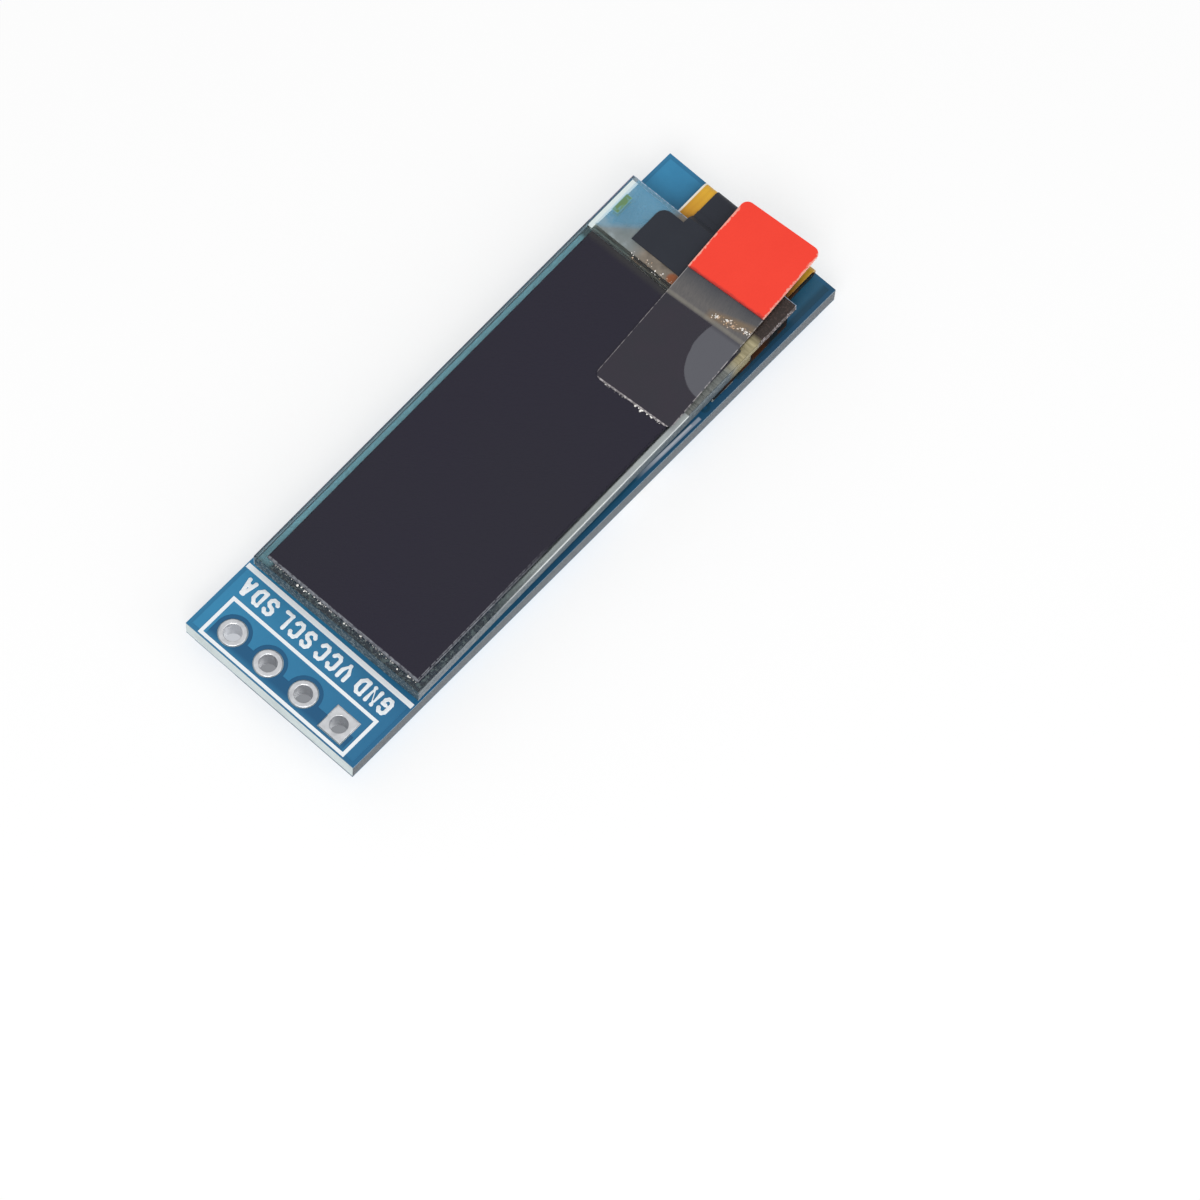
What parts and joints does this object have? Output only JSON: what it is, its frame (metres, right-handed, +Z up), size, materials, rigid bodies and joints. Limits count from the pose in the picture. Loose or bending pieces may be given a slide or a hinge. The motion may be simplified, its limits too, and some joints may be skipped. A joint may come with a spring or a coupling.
{
  "type": "small OLED display module",
  "caption": "Glass display panel on a slim circuit board, with a folded flexible cable, a peeling tab, a pin-hole row at one end and chip parts on the back.",
  "frame": {"origin": "on the axis of the GND pin hole (pin 1, the square pad), at the laminate's back face", "axes": "+X along the board away from the pin edge, +Y across the board towards the SDA pin, +Z up out of the display"},
  "size_m": [0.0384, 0.0121, 0.0041],
  "materials": {
    "laminate": "pale glass-fibre laminate, seen at the cut edges",
    "copper": "bare copper, seen only through the blue mask",
    "solder_mask": "glossy blue lacquer, lighter over the copper",
    "legend_ink": "printed white ink",
    "tinned_pad": "bright tin with a rolled rim",
    "foam_tape": "white foam tape",
    "panel_glass": "clear glass with bright cut edges",
    "seal_resin": "pale seal line",
    "light_layers": "dark reflecting layers",
    "bead_resin": "clear brownish resin with small bubbles",
    "polariser": "near-black grey-violet film",
    "clear_film": "thin clear film, seen dark over the polariser",
    "clear_tape": "thin clear tape with a torn edge",
    "red_tab": "smooth red plastic film",
    "silicon": "polished silicon",
    "black_film": "black satin film",
    "polyimide": "clear amber film",
    "solder": "soldered tin, uneven and bright",
    "ceramic_taupe": "satin ceramic between tinned ends",
    "ceramic_red_brown": "satin ceramic between tinned ends",
    "ceramic_olive_brown": "satin ceramic between tinned ends",
    "ceramic_yellow_tan": "satin ceramic between tinned ends",
    "ceramic_orange_brown": "satin ceramic between tinned ends",
    "ceramic_cream": "satin ceramic between tinned ends",
    "ceramic_brown": "satin ceramic between tinned ends",
    "ceramic_tan": "satin ceramic between tinned ends",
    "resistor": "black glaze with white numerals, between tinned ends",
    "moulding": "black moulded epoxy",
    "tinned_lead": "tinned metal leads"
  },
  "bodies": {
    "root": {"laminate_core": "laminate", "copper_front": "copper", "copper_back": "copper", "vias": "copper", "solder_mask_front": "solder_mask", "solder_mask_back": "solder_mask", "legend_front": "legend_ink", "legend_back": "legend_ink", "hole_gnd": "tinned_pad", "hole_vcc": "tinned_pad", "hole_scl": "tinned_pad", "hole_sda": "tinned_pad", "foam_tape": "foam_tape", "cap_glass": "panel_glass", "glass_seal": "seal_resin", "light_layers": "light_layers", "front_glass": "panel_glass", "resin_bead": "bead_resin", "polariser": "polariser", "protective_film": "clear_film", "peel_tape": "clear_tape", "pull_tab": "red_tab", "driver_chip": "silicon", "chip_shield": "black_film", "flex_cable": "polyimide", "cable_cover": "black_film", "cable_solder": "solder", "capacitor_c1": "ceramic_taupe", "capacitor_c2": "ceramic_red_brown", "capacitor_c3": "ceramic_olive_brown", "capacitor_c4": "ceramic_yellow_tan", "resistor_r4": "resistor", "capacitor_c5": "ceramic_orange_brown", "capacitor_c6": "ceramic_cream", "capacitor_c7": "ceramic_brown", "row_solder": "solder", "capacitor_c8": "ceramic_tan", "diode_body": "moulding", "diode_leads": "tinned_lead", "resistor_r3": "resistor", "resistor_r2": "resistor", "resistor_r1": "resistor", "group_solder": "solder", "regulator_body": "moulding", "regulator_leads": "tinned_lead", "regulator_solder": "solder"}
  },
  "joints": []
}
